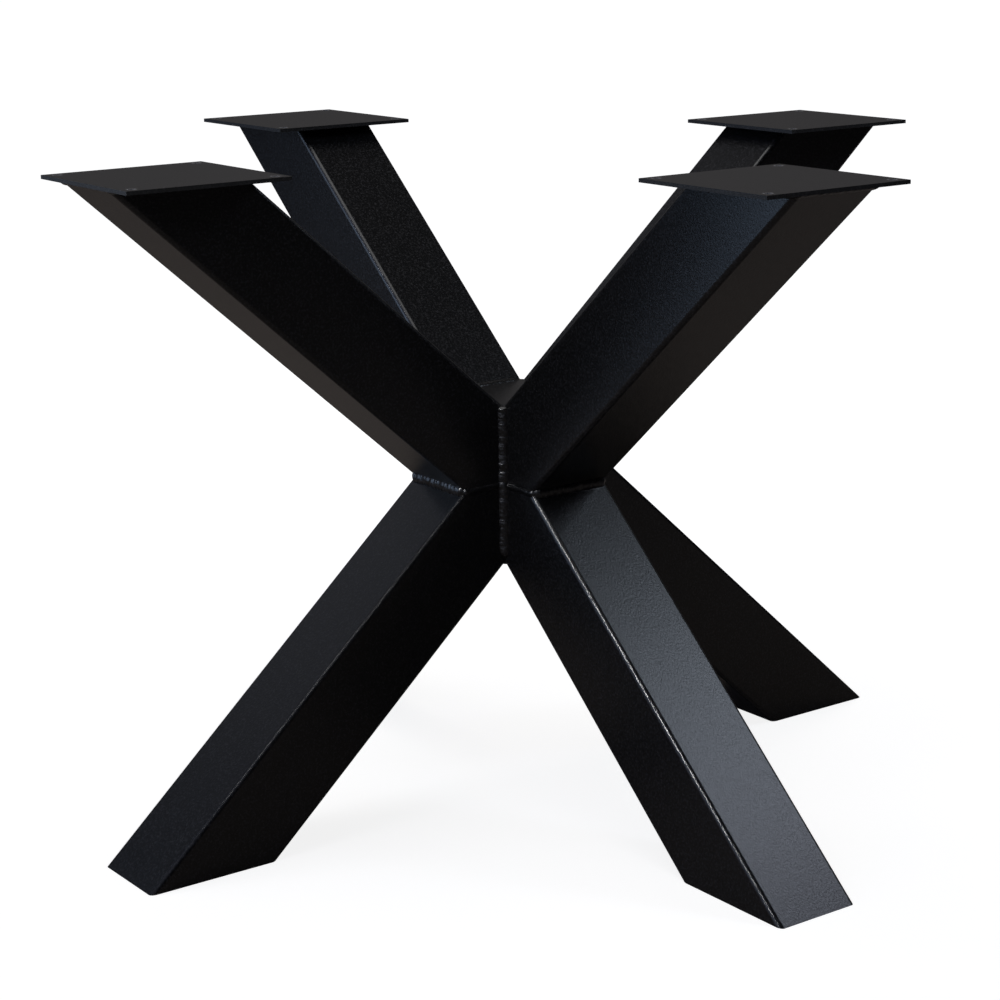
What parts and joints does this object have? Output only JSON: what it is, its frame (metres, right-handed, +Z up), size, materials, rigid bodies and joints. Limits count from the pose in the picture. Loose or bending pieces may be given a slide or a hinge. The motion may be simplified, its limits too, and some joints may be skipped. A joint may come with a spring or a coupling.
{
  "type": "crossed steel table base",
  "caption": "Welded table base of crossed square steel tubes: splayed arms and legs meet on a short post, and each arm ends in a square screw plate.",
  "frame": {"origin": "on the floor, in the middle of the base", "axes": "+Z up, with the four limbs along +X, +Y, -X and -Y"},
  "size_m": [1.016, 1.016, 0.72],
  "materials": {
    "frame": "fine matt black powder coat on mild steel",
    "weld": "matt black powder coat over weld beads left as laid"
  },
  "bodies": {
    "root": {"arm_back": "frame", "arm_front": "frame", "arm_left": "frame", "arm_right": "frame", "bottom_rim_weld_back": "weld", "bottom_rim_weld_front": "weld", "bottom_rim_weld_left": "weld", "bottom_rim_weld_right": "weld", "crotch_weld_back": "weld", "crotch_weld_front": "weld", "crotch_weld_left": "weld", "crotch_weld_right": "weld", "foot_plate_back": "frame", "foot_plate_front": "frame", "foot_plate_left": "frame", "foot_plate_right": "frame", "leg_back": "frame", "leg_front": "frame", "leg_left": "frame", "leg_right": "frame", "plate_weld_back": "weld", "plate_weld_front": "weld", "plate_weld_left": "weld", "plate_weld_right": "weld", "post": "frame", "post_cap_bottom": "frame", "post_cap_top": "frame", "screw_plate_back": "frame", "screw_plate_front": "frame", "screw_plate_left": "frame", "screw_plate_right": "frame", "seam_weld_back_left": "weld", "seam_weld_front_right": "weld", "seam_weld_left_front": "weld", "seam_weld_right_back": "weld", "top_rim_weld_back": "weld", "top_rim_weld_front": "weld", "top_rim_weld_left": "weld", "top_rim_weld_right": "weld"}
  },
  "joints": []
}
